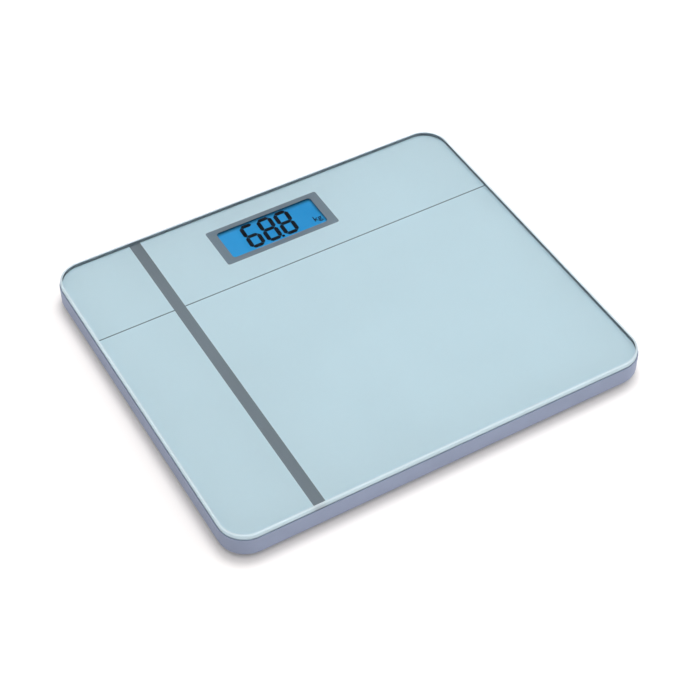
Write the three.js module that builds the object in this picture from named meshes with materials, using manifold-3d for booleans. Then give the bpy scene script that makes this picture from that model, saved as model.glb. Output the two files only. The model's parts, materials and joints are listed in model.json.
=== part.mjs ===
// Digital bathroom scale with a glass platform, in millimetres.
// +Z is up, the origin is at floor level under the middle of the platform.
// +Y points away from the user, towards the display; +X is the user's right.

import * as THREE from 'three';
import { mergeVertices } from 'three/addons/utils/BufferGeometryUtils.js';
import Module from 'manifold-3d';

const wasm = await Module();
wasm.setup();

// ---------------------------------------------------------------- driving dimensions

const GAP = 0.3; // clearance between neighbouring pieces
const THIN_GAP = 0.05; // clearance between glued layers
const OVERCUT = 1; // how far a cutter runs past the face it cuts
const ROOT = 0.5; // how far a rib, boss or wall sinks into the wall that carries it

// Glass platform
const GLASS_WIDTH = 302.4;
const GLASS_DEPTH = 262.4;
const GLASS_THICKNESS = 6;
const GLASS_RADIUS = 18.2; // corner radius
const GLASS_EDGE = 0.7; // ground edge
const SCALE_HEIGHT = 21; // floor to top of the glass

// Tray
const TRAY_PROUD = 0.8; // how far the tray stands out past the glass
const TRAY_BOTTOM = 3.7;
const TRAY_FLOOR = 1.8; // thickness of the floor plate
const TRAY_WALL = 1.9; // thickness of the side wall, up to the ledge under the glass
const LIP_EDGE = 0.2; // rounding of the thin lip round the glass
const HEEL_EDGE = 1.2; // rounding where the side wall turns under
const RIM_BELOW_GLASS = 3.5; // top of the lip, below the top of the glass
const RIM_GAP = 0.25; // slot between glass and lip
const RIB_TOP = 13.95; // also the ledge on the side wall
const RIB = 1.6; // thickness of a rib
const FLOOR_RIB_TOP = 8.4; // low ribs that stiffen the floor plate
const FLOOR_RIBS_X = [-68, -50, 50, 68];
const FLOOR_RIBS_Y = [-84, -56, -28, 0];
const BOARD_CLEAR = 4; // end of the lengthwise ribs to the board
const LABEL_RECESS = { x: 0, y: -42, width: 78, height: 46, radius: 3, depth: 0.4 };

// Layers between the glass and the tray
const FILM_THICKNESS = 0.2;
const FILM_MARGIN = 1.3; // bare glass round the print
const TAPE_THICKNESS = 0.7;
const TAPE_WIDTH = 8;
const TAPE_INSET = 8.5; // glass edge to the middle of the tape
const CORNER_TAPE_RADIUS = 19.5;

// Display
const WINDOW = { x: 0, y: 98, width: 73, height: 27.2, radius: 2.2 };
const LCD_TOP = 13.8;
const LCD_THICKNESS = 1.8;
const LCD_SIZE = [80.6, 32.6];
const LCD_RADIUS = 0.8;
const BACKLIGHT_SIZE = [74, 26];
const BACKLIGHT_THICKNESS = 1.6;
const BACKLIGHT_SHIFT = 1; // towards the back, clear of the zebra strip
const LIGHT_RADIUS = 1; // corners of the backlight and of the room for it
const HOLDER_SIZE = [84, 36];
const HOLDER_RADIUS = 1.5;
const HOLDER_WALL = 1.2;
const HOLDER_MARGIN = 2.1; // the holder's opening, past the printed window all round
const ZEBRA = { length: 60, width: 2, inset: 1.5 };

// Circuit board
const BOARD = { x: 0, y: 92.8, width: 96, depth: 45, thickness: 1.2, bottom: 8, radius: 1.5 };
const BOARD_SCREW_INSET = 3.4;
const SCREW = { radius: 0.9, length: 4, tip: 0.6, headRadius: 1.9, headHeight: 1.3, headEdge: 0.4 };
const CROSS = { length: 2.2, width: 0.5, depth: 0.7 }; // recess in a screw's head
const POST_RADIUS = 2.8;
const POST_FLOOR = 0.8; // left under the hole in a post
const CHIP = { x: -14, y: -18, radius: 4.4, height: 1.6 }; // potted chip, from the middle of the board

// Unit button and its switch, under the board
const BUTTON = { x: 30, y: 79, radius: 4, proud: 0.2, flange: 5.4, flangeThickness: 0.4, travel: 0.4 };
const BUTTON_LIFT = 0.15; // floor plate to the button's flange
const SWITCH_SIZE = 6;
const PLUNGER = { radius: 1.6, length: 0.3, sink: 0.1 };

// Corner modules: foot cup, rubber pad and load cell
const CORNER_X = 117;
const CORNER_Y = 97;
const FOOT_TRAVEL = 0.5; // how far a full load bends the cell and lifts the foot
const CUP_RADIUS = 21;
const CUP_BOTTOM = 1.2;
const CUP_TOP = 8.6;
const CUP_WALL = 2;
const CUP_LIP = 0.6; // rounding of the lower edge
const CUP_FLOOR = 1.5; // thickness over the pad
const CELL_SEAT = 6.6; // height of the shelf that the cell rests on
const SHELF_WIDTH = 5;
const MOUTH_GAP = 0.4; // cup to the mouth of its bore
const LUG = { reach: 1.1, halfAngle: 12, turn: 60, below: 0.4 }; // bayonet lug; turn is lug to notch
const NOTCH_SPREAD = 3; // degrees of room on each side of a lug
const PAD_RADIUS = 16;
const PAD_TOP = 1.9;
const TOWER_BORE = 22.4;
const TOWER_RADIUS = 24.5;
const TOWER_CEILING = 12;
const TOWER_CLEAR = 3; // tower to the nearest rib or tape
const CELL_SIZE = 28;
const CELL_THICKNESS = 2.2;
const CELL_RADIUS = 4;
const CELL_SLOT = { half: 9, width: 2, neck: 5 }; // C-shaped slot; neck is half the tongue's root
const GAUGE = { width: 8, depth: 4.4, radius: 1.6, inset: 2.6, height: 0.85, edge: 0.4 };
const CABLE_SLOT = { halfWidth: 2, halfHeight: 1.4 }; // way out of the tower for a cell's cable
const TONGUE_BOSS_RADIUS = 4;
const GUARD = { inner: 22.6, outer: 24.2, drop: 0.7 }; // ring round a foot, under the tray

// Battery compartment, two AAA cells side by side along X
const BATTERY = { radius: 5.25, length: 44.5, nubRadius: 1.9, nubLength: 0.8 };
const BAY = { x: 0, y: 35, halfLength: 26.1, halfWidth: 11.3, top: 13.5, wall: 1.4 };
const BAY_CEILING = 0.95;
const BATTERY_PITCH = 11.2;
const BATTERY_HEIGHT = 8.2; // height of the batteries' axes
const BATTERY_SIDES = 16;
const CONTACT = { thickness: 0.4, bottom: 5.8, top: 12.2, half: 4.6 }; // half is half the width
const NUB_GAP = 0.25; // contact plate to battery nub
const SPRING = { wire: 0.35, baseRadius: 3.2, tipRadius: 1.8, turns: 2.5, stepsPerTurn: 8 };
const DOOR = { halfLength: 26.7, halfWidth: 11.9, bottom: 1.4, thickness: 1.3, radius: 0.8 };
const DOOR_TAB = { y: 7, halfWidth: 2, reach: 2.5, drop: 0.5 };
const TAB_SLOT = { gap: 0.4, low: 0.35, high: 3.3 }; // heights above the bottom of the door
const LATCH = { halfWidth: 3.8, reach: 1.2, drop: 0.6, gap: 0.4, room: 1 }; // room is over the hook
const SLIT = { y: 4.4, width: 0.8, length: 9 }; // on each side of the latch tongue
const GRIPS = { insets: [3, 4.6, 6.2], width: 0.8, length: 6, depth: 0.35 };
const SCOOP = { radius: 7, offset: 5, depth: 1 }; // finger recess beyond the latch
const LEAD_NOTCH = { halfWidth: 1.2, depth: 2.2 };
const BULGE = { halfLength: 31, halfWidth: 16, radius: 5, edge: 1.2 };

// Wiring
const CABLE_RADIUS = 0.9;
const LEAD_RADIUS = 0.7;
const CABLE_HEIGHT = 10.5;
const CABLE_LANE = 86; // distance of the long cable runs from the middle
const SOLDER = 0.15; // under the end of a wire on the board

// Levels worked out from the above
const GLASS_BOTTOM = SCALE_HEIGHT - GLASS_THICKNESS;
const FILM_BOTTOM = GLASS_BOTTOM - THIN_GAP - FILM_THICKNESS;
const RIM_TOP = SCALE_HEIGHT - RIM_BELOW_GLASS;
const FLOOR_TOP = TRAY_BOTTOM + TRAY_FLOOR;
const TAPE_BOTTOM = RIB_TOP + THIN_GAP;
const LCD_BOTTOM = LCD_TOP - LCD_THICKNESS;
const BOARD_TOP = BOARD.bottom + BOARD.thickness;
const CELL_TOP = CELL_SEAT + THIN_GAP + CELL_THICKNESS;
const TONGUE_BOSS_BOTTOM = CELL_TOP + FOOT_TRAVEL + GAP;
const BUTTON_TOP = FLOOR_TOP + BUTTON_LIFT + BUTTON.flangeThickness;
const CONTACT_FACE = BAY.halfLength - GAP - CONTACT.thickness; // inner face of a contact plate
const SPRING_TIP = BATTERY.length - CONTACT_FACE + NUB_GAP + GAP + SPRING.wire; // from the bay's middle

const ROUND = 24; // sides of a full-size round part
const SMALL_ROUND = 14; // sides of a small round part

// ---------------------------------------------------------------- shapes and booleans

const radians = THREE.MathUtils.degToRad;

function roundedRect(width, depth, radius, x = 0, y = 0) {
  const right = x + width / 2 - radius;
  const left = x - width / 2 + radius;
  const back = y + depth / 2 - radius;
  const front = y - depth / 2 + radius;
  const shape = new THREE.Shape();
  shape.absarc(right, front, radius, -Math.PI / 2, 0);
  shape.absarc(right, back, radius, 0, Math.PI / 2);
  shape.absarc(left, back, radius, Math.PI / 2, Math.PI);
  shape.absarc(left, front, radius, Math.PI, 1.5 * Math.PI);
  shape.closePath();
  return shape;
}

function disc(radius, x = 0, y = 0) {
  return new THREE.Shape().absarc(x, y, radius, 0, 2 * Math.PI);
}

// A ring sector between two radii, for lugs and notches
function sector(inner, outer, middle, half) {
  const shape = new THREE.Shape();
  shape.absarc(0, 0, outer, radians(middle - half), radians(middle + half));
  shape.absarc(0, 0, inner, radians(middle + half), radians(middle - half), true);
  shape.closePath();
  return shape;
}

// Each arc of an outline gets twice curveSegments sides
function prism(shape, bottom, top, curveSegments = 3) {
  const options = { depth: top - bottom, bevelEnabled: false, curveSegments };
  return new THREE.ExtrudeGeometry(shape, options).translate(0, 0, bottom);
}

// A prism whose bottom and top edges are rounded inwards
function softPrism(shape, bottom, top, edge, bevelSegments = 2, curveSegments = 4) {
  const options = {
    depth: top - bottom - 2 * edge,
    bevelThickness: edge,
    bevelSize: edge,
    bevelOffset: -edge,
    bevelSegments,
    curveSegments,
  };
  return new THREE.ExtrudeGeometry(shape, options).translate(0, 0, bottom + edge);
}

function block(x0, x1, y0, y1, z0, z1) {
  const box = new THREE.BoxGeometry(x1 - x0, y1 - y0, z1 - z0);
  return box.translate((x0 + x1) / 2, (y0 + y1) / 2, (z0 + z1) / 2);
}

function pin(radius, bottom, top, x = 0, y = 0, sides = SMALL_ROUND) {
  const cylinder = new THREE.CylinderGeometry(radius, radius, top - bottom, sides);
  return cylinder.rotateX(Math.PI / 2).translate(x, y, (top + bottom) / 2);
}

// A turned part about Z: profile points are [radius, height], from the bottom up
function turned(profile, sides = ROUND) {
  const points = profile.map(([radius, height]) => new THREE.Vector2(radius, height));
  return new THREE.LatheGeometry(points, sides).rotateX(Math.PI / 2);
}

// A round wire or cable along a smooth curve through the given points
function wire(points, radius, steps, sides = 8) {
  const path = new THREE.CatmullRomCurve3(points.map((p) => new THREE.Vector3(...p)), false, 'centripetal');
  const section = new THREE.Shape();
  section.absarc(0, 0, radius, 0, 2 * Math.PI);
  const options = { extrudePath: path, steps, curveSegments: sides / 2, bevelEnabled: false };
  return new THREE.ExtrudeGeometry(section, options);
}

function toSolid(geometry) {
  const bare = geometry.clone();
  bare.deleteAttribute('normal');
  bare.deleteAttribute('uv');
  const merged = mergeVertices(bare, 1e-4);
  return new wasm.Manifold(new wasm.Mesh({
    numProp: 3,
    vertProperties: new Float32Array(merged.attributes.position.array),
    triVerts: new Uint32Array(merged.index.array),
  }));
}

function toGeometry(solid) {
  const mesh = solid.getMesh();
  const geometry = new THREE.BufferGeometry();
  geometry.setAttribute('position', new THREE.BufferAttribute(new Float32Array(mesh.vertProperties), 3));
  geometry.setIndex(new THREE.BufferAttribute(new Uint32Array(mesh.triVerts), 1));
  geometry.computeVertexNormals();
  return geometry;
}

// Joins `added` to the first shape, then cuts `removed` away
function carve(first, { added = [], removed = [] }) {
  let solid = toSolid(first);
  for (const extra of added) solid = solid.add(toSolid(extra));
  for (const cutter of removed) solid = solid.subtract(toSolid(cutter));
  return toGeometry(solid);
}

// ---------------------------------------------------------------- materials

function plastic(color, roughness = 0.45) {
  return () => new THREE.MeshStandardMaterial({ color, roughness, metalness: 0 });
}

function metal(color, roughness = 0.35) {
  return () => new THREE.MeshStandardMaterial({ color, roughness, metalness: 1 });
}

const FINISH = {
  glass: () => new THREE.MeshStandardMaterial({
    color: 0xe4f1f0, roughness: 0.03, metalness: 0, transparent: true, opacity: 0.35,
  }),
  print: plastic(0xbcd4df, 0.35),
  tray: plastic(0xaab2c8, 0.4),
  foam: plastic(0xf0efe8, 0.95),
  rubber: plastic(0x3b3d42, 0.85),
  cup: plastic(0xc9ced8, 0.5),
  lcd: plastic(0x2d91d2, 0.15),
  backlight: plastic(0x9fd4ff, 0.3),
  holder: plastic(0xe9edf2, 0.5),
  board: plastic(0x1e6b3c, 0.4),
  elastomer: plastic(0xd98a8f, 0.7),
  epoxy: plastic(0x1a1a1c, 0.25),
  silicone: plastic(0xf2f2ee, 0.6),
  keycap: plastic(0x5c6370, 0.5),
  battery: plastic(0x2f4f7f, 0.3),
  cable: plastic(0xb7b9bd, 0.55),
  redLead: plastic(0xb02a2a, 0.5),
  blackLead: plastic(0x222226, 0.5),
  steel: metal(0xb9bcc0, 0.35),
  nickel: metal(0xd2d0c8, 0.22),
};

const scale = new THREE.Group();

function place(name, geometry, finish, parent = scale) {
  const mesh = new THREE.Mesh(geometry, finish());
  mesh.name = name;
  parent.add(mesh);
  return mesh;
}

// ---------------------------------------------------------------- platform and tray

function addPlatform() {
  const outline = roundedRect(GLASS_WIDTH, GLASS_DEPTH, GLASS_RADIUS);
  place('glass_platform', softPrism(outline, GLASS_BOTTOM, SCALE_HEIGHT, GLASS_EDGE), FINISH.glass);

  const film = roundedRect(
    GLASS_WIDTH - 2 * FILM_MARGIN, GLASS_DEPTH - 2 * FILM_MARGIN, GLASS_RADIUS - FILM_MARGIN,
  );
  film.holes.push(roundedRect(WINDOW.width, WINDOW.height, WINDOW.radius, WINDOW.x, WINDOW.y));
  place('back_print', prism(film, FILM_BOTTOM, FILM_BOTTOM + FILM_THICKNESS), FINISH.print);
}

// The straight sides of the tray: the direction each runs in, which way it faces, how far the
// glass edge is from the middle, and the half length that the corner towers leave free
const FREE_X = CORNER_X - TOWER_RADIUS - TOWER_CLEAR;
const FREE_Y = CORNER_Y - TOWER_RADIUS - TOWER_CLEAR;
const SIDES = [
  { name: 'front', along: 'x', sign: -1, edge: GLASS_DEPTH / 2, half: FREE_X },
  { name: 'back', along: 'x', sign: 1, edge: GLASS_DEPTH / 2, half: FREE_X },
  { name: 'left', along: 'y', sign: -1, edge: GLASS_WIDTH / 2, half: FREE_Y },
  { name: 'right', along: 'y', sign: 1, edge: GLASS_WIDTH / 2, half: FREE_Y },
];

// A bar parallel to one side: `offset` is the distance of its middle from the glass edge
function sideBar(side, offset, width, bottom, top) {
  const middle = side.sign * (side.edge - offset);
  const low = middle - width / 2;
  const high = middle + width / 2;
  if (side.along === 'x') return block(-side.half, side.half, low, high, bottom, top);
  return block(low, high, -side.half, side.half, bottom, top);
}

function addTapes() {
  for (const side of SIDES) {
    const strip = sideBar(side, TAPE_INSET, TAPE_WIDTH, TAPE_BOTTOM, TAPE_BOTTOM + TAPE_THICKNESS);
    place(`tape_${side.name}`, strip, FINISH.foam);
  }
}

const CORNERS = [
  { name: 'front_left', x: -CORNER_X, y: -CORNER_Y },
  { name: 'front_right', x: CORNER_X, y: -CORNER_Y },
  { name: 'back_left', x: -CORNER_X, y: CORNER_Y },
  { name: 'back_right', x: CORNER_X, y: CORNER_Y },
];

const LUGS = [90, 210, 330]; // directions of the bayonet lugs, in degrees

function ring(inner, outer, bottom, top, x, y) {
  const shape = disc(outer, x, y);
  shape.holes.push(disc(inner, x, y));
  return prism(shape, bottom, top, ROUND / 2);
}

function trayTower(corner) {
  const guardBottom = TRAY_BOTTOM - GUARD.drop;
  return [
    pin(TOWER_RADIUS, TRAY_BOTTOM + ROOT, RIB_TOP, corner.x, corner.y, ROUND),
    ring(GUARD.inner, GUARD.outer, guardBottom, TRAY_BOTTOM + ROOT, corner.x, corner.y),
  ];
}

// The bore for the foot cup, its mouth with bayonet notches, and the cable slot
function towerCuts(corner) {
  const low = TRAY_BOTTOM - OVERCUT;
  const high = FLOOR_TOP + OVERCUT;
  const notches = LUGS.map((angle) => {
    const notch = sector(CUP_RADIUS - CUP_WALL, TOWER_BORE, angle + LUG.turn, LUG.halfAngle + NOTCH_SPREAD);
    return prism(notch, low, high, 2).translate(corner.x, corner.y, 0);
  });
  const inward = -Math.sign(corner.x);
  const slotStart = corner.x + inward * (TOWER_BORE - OVERCUT);
  const slotEnd = corner.x + inward * (TOWER_RADIUS + OVERCUT);
  return [
    pin(TOWER_BORE, FLOOR_TOP, TOWER_CEILING, corner.x, corner.y, ROUND),
    pin(CUP_RADIUS + MOUTH_GAP, low, high, corner.x, corner.y, ROUND),
    ...notches,
    block(
      Math.min(slotStart, slotEnd), Math.max(slotStart, slotEnd),
      corner.y - CABLE_SLOT.halfWidth, corner.y + CABLE_SLOT.halfWidth,
      CABLE_HEIGHT - CABLE_SLOT.halfHeight, CABLE_HEIGHT + CABLE_SLOT.halfHeight,
    ),
  ];
}

function boardScrewPlaces() {
  const dx = BOARD.width / 2 - BOARD_SCREW_INSET;
  const dy = BOARD.depth / 2 - BOARD_SCREW_INSET;
  return [[-dx, -dy], [dx, -dy], [-dx, dy], [dx, dy]].map(([x, y]) => [BOARD.x + x, BOARD.y + y]);
}

function bayBlock(margin, bottom, top) {
  const halfLength = BAY.halfLength + margin;
  const halfWidth = BAY.halfWidth + margin;
  return block(
    BAY.x - halfLength, BAY.x + halfLength, BAY.y - halfWidth, BAY.y + halfWidth, bottom, top,
  );
}

// Openings of the battery compartment: cell room, door seat, tab slots, latch notch,
// finger scoop and lead notches
function bayCuts() {
  const low = DOOR.bottom - OVERCUT;
  const doorTop = DOOR.bottom + DOOR.thickness;
  const hinge = BAY.x - DOOR.halfLength;
  const latch = BAY.x + DOOR.halfLength;
  const seatHalf = DOOR.halfWidth + GAP;
  const latchHalf = LATCH.halfWidth + LATCH.gap;
  const cuts = [
    bayBlock(0, low, BAY.top),
    block(hinge - GAP, latch + GAP, BAY.y - seatHalf, BAY.y + seatHalf, low, doorTop + GAP),
    block(
      latch - OVERCUT, latch + LATCH.reach + LATCH.gap, BAY.y - latchHalf, BAY.y + latchHalf,
      low, doorTop + LATCH.room,
    ),
    pin(SCOOP.radius, low, DOOR.bottom + SCOOP.depth, latch + SCOOP.offset, BAY.y, ROUND),
  ];
  for (const side of [-1, 1]) {
    const tabY = BAY.y + side * DOOR_TAB.y;
    const tabHalf = DOOR_TAB.halfWidth + TAB_SLOT.gap;
    cuts.push(block(
      hinge - DOOR_TAB.reach - TAB_SLOT.gap, hinge + OVERCUT, tabY - tabHalf, tabY + tabHalf,
      DOOR.bottom + TAB_SLOT.low, DOOR.bottom + TAB_SLOT.high,
    ));
    const leadY = BAY.y + side * BATTERY_PITCH / 2;
    const wallFace = BAY.x - BAY.halfLength;
    cuts.push(block(
      wallFace - BAY.wall - OVERCUT, wallFace + OVERCUT,
      leadY - LEAD_NOTCH.halfWidth, leadY + LEAD_NOTCH.halfWidth, BAY.top - LEAD_NOTCH.depth, BAY.top,
    ));
  }
  return cuts;
}

// Low ribs that stiffen the floor plate in front of the board
function floorRibs() {
  const ribBottom = TRAY_BOTTOM + ROOT;
  const front = -GLASS_DEPTH / 2 + TAPE_INSET;
  const back = BOARD.y - BOARD.depth / 2 - BOARD_CLEAR;
  const side = GLASS_WIDTH / 2 - TAPE_INSET;
  const lengthwise = FLOOR_RIBS_X.map((x) => block(
    x - RIB / 2, x + RIB / 2, front, back, ribBottom, FLOOR_RIB_TOP,
  ));
  const crosswise = FLOOR_RIBS_Y.map((y) => block(
    -side, side, y - RIB / 2, y + RIB / 2, ribBottom, FLOOR_RIB_TOP,
  ));
  return [...lengthwise, ...crosswise];
}

// The outline of the glass, grown outwards all round
function grownGlass(growth) {
  return roundedRect(GLASS_WIDTH + 2 * growth, GLASS_DEPTH + 2 * growth, GLASS_RADIUS + growth);
}

// An open box with a full rounded heel, a ledge under the glass and a thin lip round it
function trayShell() {
  const outer = grownGlass(TRAY_PROUD);
  const heel = softPrism(outer, TRAY_BOTTOM, RIB_TOP, HEEL_EDGE, 3);
  const wall = softPrism(outer, FLOOR_TOP, RIM_TOP, LIP_EDGE);
  const room = prism(grownGlass(TRAY_PROUD - TRAY_WALL), FLOOR_TOP, RIB_TOP + OVERCUT, 4);
  const pocket = prism(grownGlass(RIM_GAP), RIB_TOP, RIM_TOP + OVERCUT, 4);
  return toSolid(heel).add(toSolid(wall)).subtract(toSolid(room)).subtract(toSolid(pocket));
}

function addTray() {
  const glueRibs = SIDES.flatMap((side) => [-1, 1].map((edge) => sideBar(
    side, TAPE_INSET + edge * (TAPE_WIDTH - RIB) / 2, RIB, FLOOR_TOP - ROOT, RIB_TOP,
  )));
  const bulge = roundedRect(2 * BULGE.halfLength, 2 * BULGE.halfWidth, BULGE.radius, BAY.x, BAY.y);
  const posts = boardScrewPlaces().map(([x, y]) => pin(
    POST_RADIUS, TRAY_BOTTOM + ROOT, BOARD.bottom - THIN_GAP, x, y,
  ));
  const added = [
    ...floorRibs(),
    ...glueRibs,
    ...CORNERS.flatMap(trayTower),
    bayBlock(BAY.wall, TRAY_BOTTOM, BAY.top + BAY_CEILING),
    softPrism(bulge, DOOR.bottom, FLOOR_TOP, BULGE.edge, 2, 2),
    ...posts,
  ];
  const label = roundedRect(
    LABEL_RECESS.width, LABEL_RECESS.height, LABEL_RECESS.radius, LABEL_RECESS.x, LABEL_RECESS.y,
  );
  const removed = [
    ...CORNERS.flatMap(towerCuts),
    ...bayCuts(),
    prism(label, TRAY_BOTTOM - OVERCUT, TRAY_BOTTOM + LABEL_RECESS.depth),
    ...boardScrewPlaces().map(([x, y]) => pin(
      SCREW.radius + GAP, TRAY_BOTTOM + POST_FLOOR, BOARD.bottom + OVERCUT, x, y,
    )),
    pin(BUTTON.radius + GAP, TRAY_BOTTOM - OVERCUT, FLOOR_TOP + OVERCUT, BUTTON.x, BUTTON.y),
  ];
  let tray = trayShell();
  for (const extra of added) tray = tray.add(toSolid(extra));
  for (const cutter of removed) tray = tray.subtract(toSolid(cutter));
  for (const corner of CORNERS) {
    tray = tray.add(toSolid(pin(
      TONGUE_BOSS_RADIUS, TONGUE_BOSS_BOTTOM, TOWER_CEILING + ROOT, corner.x, corner.y,
    )));
  }
  place('tray', toGeometry(tray), FINISH.tray);
}

// ---------------------------------------------------------------- corner modules

function footCup() {
  const ceiling = PAD_TOP + THIN_GAP; // of the recess for the pad
  const floor = PAD_TOP + CUP_FLOOR;
  const recess = PAD_RADIUS + GAP;
  const inner = CUP_RADIUS - CUP_WALL;
  const well = inner - SHELF_WIDTH;
  const cup = turned([
    [0, ceiling], [recess, ceiling], [recess, CUP_BOTTOM],
    [CUP_RADIUS - CUP_LIP, CUP_BOTTOM], [CUP_RADIUS, CUP_BOTTOM + CUP_LIP], [CUP_RADIUS, CUP_TOP],
    [inner, CUP_TOP], [inner, CELL_SEAT], [well, CELL_SEAT], [well, floor], [0, floor],
  ]);
  const lugs = LUGS.map((angle) => prism(
    sector(CUP_RADIUS - CUP_WALL / 2, CUP_RADIUS + LUG.reach, angle, LUG.halfAngle),
    FLOOR_TOP + GAP, CUP_TOP - LUG.below, 1,
  ));
  return carve(cup, { added: lugs });
}

function footPad() {
  const edge = 0.5;
  return turned([
    [0, 0], [PAD_RADIUS - edge, 0], [PAD_RADIUS, edge], [PAD_RADIUS, PAD_TOP], [0, PAD_TOP],
  ]);
}

// A stamped plate with a C-shaped slot that leaves a tongue hanging from one side
function loadCell() {
  const plate = roundedRect(CELL_SIZE, CELL_SIZE, CELL_RADIUS);
  const outer = CELL_SLOT.half;
  const inner = outer - CELL_SLOT.width;
  const { neck } = CELL_SLOT;
  const corners = [
    [-outer, -outer], [outer, -outer], [outer, outer], [neck, outer], [neck, inner], [inner, inner],
    [inner, -inner], [-inner, -inner], [-inner, inner], [-neck, inner], [-neck, outer], [-outer, outer],
  ];
  const slot = new THREE.Path(corners.map(([x, y]) => new THREE.Vector2(x, y)));
  slot.closePath();
  plate.holes.push(slot);
  return prism(plate, CELL_SEAT + THIN_GAP, CELL_TOP, 2);
}

function strainGauge() {
  const outline = roundedRect(GAUGE.width, GAUGE.depth, GAUGE.radius, 0, CELL_SIZE / 2 - GAUGE.inset);
  const bottom = CELL_TOP + THIN_GAP;
  return softPrism(outline, bottom, bottom + GAUGE.height, GAUGE.edge, 1, 1);
}

function addCorners() {
  for (const corner of CORNERS) {
    const module = new THREE.Group();
    module.position.set(corner.x, corner.y, 0);
    scale.add(module);
    place(`foot_cup_${corner.name}`, footCup(), FINISH.cup, module);
    place(`foot_pad_${corner.name}`, footPad(), FINISH.rubber, module);
    place(`load_cell_${corner.name}`, loadCell(), FINISH.steel, module);
    place(`strain_gauge_${corner.name}`, strainGauge(), FINISH.silicone, module);
    const foam = pin(CORNER_TAPE_RADIUS, TAPE_BOTTOM, TAPE_BOTTOM + TAPE_THICKNESS, 0, 0, ROUND);
    place(`tape_${corner.name}`, foam, FINISH.foam, module);
  }
}

// ---------------------------------------------------------------- display and board

function addDisplay() {
  const { x, y } = WINDOW;
  place('lcd_panel', prism(roundedRect(...LCD_SIZE, LCD_RADIUS, x, y), LCD_BOTTOM, LCD_TOP, 1), FINISH.lcd);

  const lightTop = LCD_BOTTOM - THIN_GAP;
  const lightShape = roundedRect(...BACKLIGHT_SIZE, LIGHT_RADIUS, x, y + BACKLIGHT_SHIFT);
  place('backlight', prism(lightShape, lightTop - BACKLIGHT_THICKNESS, lightTop, 1), FINISH.backlight);

  const holderTop = FILM_BOTTOM - THIN_GAP;
  const opening = roundedRect(
    WINDOW.width + 2 * HOLDER_MARGIN, WINDOW.height + 2 * HOLDER_MARGIN, WINDOW.radius, x, y,
  );
  const room = [HOLDER_SIZE[0] - 2 * HOLDER_WALL, HOLDER_SIZE[1] - 2 * HOLDER_WALL];
  const body = prism(roundedRect(...HOLDER_SIZE, HOLDER_RADIUS, x, y), BOARD_TOP + THIN_GAP, holderTop, 2);
  const holder = carve(body, {
    removed: [
      prism(roundedRect(...room, LIGHT_RADIUS, x, y), BOARD_TOP, LCD_TOP + THIN_GAP, 1),
      prism(opening, BOARD_TOP, holderTop + OVERCUT, 2),
    ],
  });
  place('lcd_holder', holder, FINISH.holder);

  const zebraY = y - LCD_SIZE[1] / 2 + ZEBRA.inset;
  const zebra = block(
    x - ZEBRA.length / 2, x + ZEBRA.length / 2, zebraY - ZEBRA.width / 2, zebraY + ZEBRA.width / 2,
    BOARD_TOP + THIN_GAP, LCD_BOTTOM - THIN_GAP,
  );
  place('zebra_strip', zebra, FINISH.elastomer);
}

// A drop of epoxy over the chip: the upper half of an ellipse, turned
function pottedChip(bottom) {
  const steps = 3;
  const profile = [[0, bottom]];
  for (let step = 0; step <= steps; step += 1) {
    const angle = step / steps * Math.PI / 2;
    const radius = step < steps ? CHIP.radius * Math.cos(angle) : 0;
    profile.push([radius, bottom + CHIP.height * Math.sin(angle)]);
  }
  return turned(profile, SMALL_ROUND);
}

// A cross-head screw whose head sits on the board
function boardScrew(seat) {
  const tip = seat - SCREW.length;
  const top = seat + SCREW.headHeight;
  const screw = turned([
    [0, tip], [SCREW.radius, tip + SCREW.tip], [SCREW.radius, seat], [SCREW.headRadius, seat],
    [SCREW.headRadius - SCREW.headEdge, top], [0, top],
  ], SMALL_ROUND);
  const long = CROSS.length / 2;
  const short = CROSS.width / 2;
  return carve(screw, {
    removed: [
      block(-long, long, -short, short, top - CROSS.depth, top + OVERCUT),
      block(-short, short, -long, long, top - CROSS.depth, top + OVERCUT),
    ],
  });
}

// A square switch body with a round plunger under it
function unitSwitch() {
  const half = SWITCH_SIZE / 2;
  const plungerBottom = BUTTON_TOP + BUTTON.travel + THIN_GAP;
  const bodyBottom = plungerBottom + PLUNGER.length;
  const body = block(-half, half, -half, half, bodyBottom, BOARD.bottom - THIN_GAP);
  return carve(body, { added: [pin(PLUNGER.radius, plungerBottom, bodyBottom + PLUNGER.sink)] });
}

function addBoard() {
  const outline = roundedRect(BOARD.width, BOARD.depth, BOARD.radius, BOARD.x, BOARD.y);
  for (const [x, y] of boardScrewPlaces()) outline.holes.push(disc(SCREW.radius + GAP, x, y));
  place('circuit_board', prism(outline, BOARD.bottom, BOARD_TOP, 4), FINISH.board);

  const seat = BOARD_TOP + THIN_GAP;
  const chip = place('controller_chip', pottedChip(seat), FINISH.epoxy);
  chip.position.set(BOARD.x + CHIP.x, BOARD.y + CHIP.y, 0);
  for (const [index, [x, y]] of boardScrewPlaces().entries()) {
    place(`board_screw_${index + 1}`, boardScrew(seat), FINISH.steel).position.set(x, y, 0);
  }
  place('unit_switch', unitSwitch(), FINISH.epoxy).position.set(BUTTON.x, BUTTON.y, 0);
}

// The stem fills the hole in the tray; a flange above the floor plate keeps it in
function addButton() {
  const flangeBottom = BUTTON_TOP - BUTTON.flangeThickness;
  const edge = 0.4;
  const low = TRAY_BOTTOM - BUTTON.proud;
  const button = turned([
    [0, low], [BUTTON.radius - edge, low], [BUTTON.radius, low + edge], [BUTTON.radius, flangeBottom],
    [BUTTON.flange, flangeBottom], [BUTTON.flange, BUTTON_TOP], [0, BUTTON_TOP],
  ]);
  place('unit_button', button, FINISH.keycap).position.set(BUTTON.x, BUTTON.y, 0);
}

// ---------------------------------------------------------------- batteries and their door

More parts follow.
